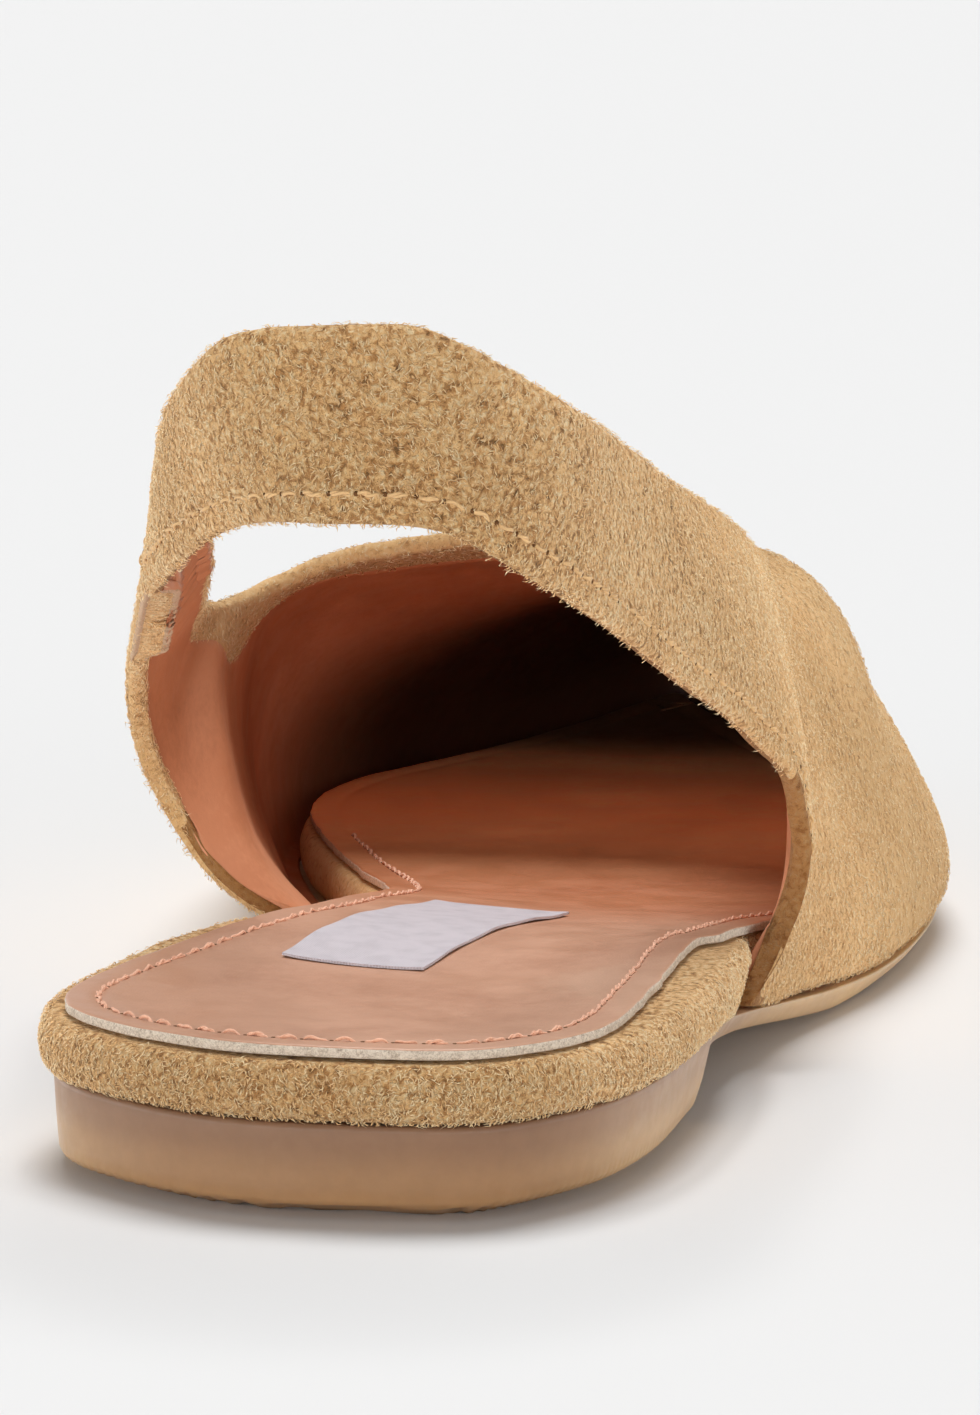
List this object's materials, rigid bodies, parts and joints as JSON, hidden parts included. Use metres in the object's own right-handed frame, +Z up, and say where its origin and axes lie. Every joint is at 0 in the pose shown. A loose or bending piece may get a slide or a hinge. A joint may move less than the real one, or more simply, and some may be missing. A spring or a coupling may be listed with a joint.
{
  "type": "slingback ballet flat",
  "caption": "Low-heeled right slingback ballet flat with a suede upper, a soft point, an elastic length in the sling strap and a moulded rubber sole.",
  "frame": {"origin": "centre of the bounding box in plan, on the floor plane under the heel block and the forefoot", "axes": "+Z up, toe towards -Y, the wearer's right (the shoe's outer side) towards -X"},
  "size_m": [0.0829, 0.2554, 0.0797],
  "materials": {
    "outsole": "translucent tan thermoplastic rubber, satin, darker along its top edge",
    "footbed": "golden tan suede wrapped over the footbed's edge",
    "insole_sock": "smooth pinkish tan lining leather, raw edge, stitched round",
    "insole_label": "white woven tape, blank",
    "upper": "camel suede with a short curly nap outside, smooth terracotta lining leather inside",
    "sling_elastic": "elastic covered with gathered camel suede"
  },
  "bodies": {
    "root": {"outsole": "outsole", "footbed": "footbed", "insole_sock": "insole_sock", "insole_label": "insole_label", "upper": "upper", "sling_elastic": "sling_elastic"}
  },
  "joints": []
}
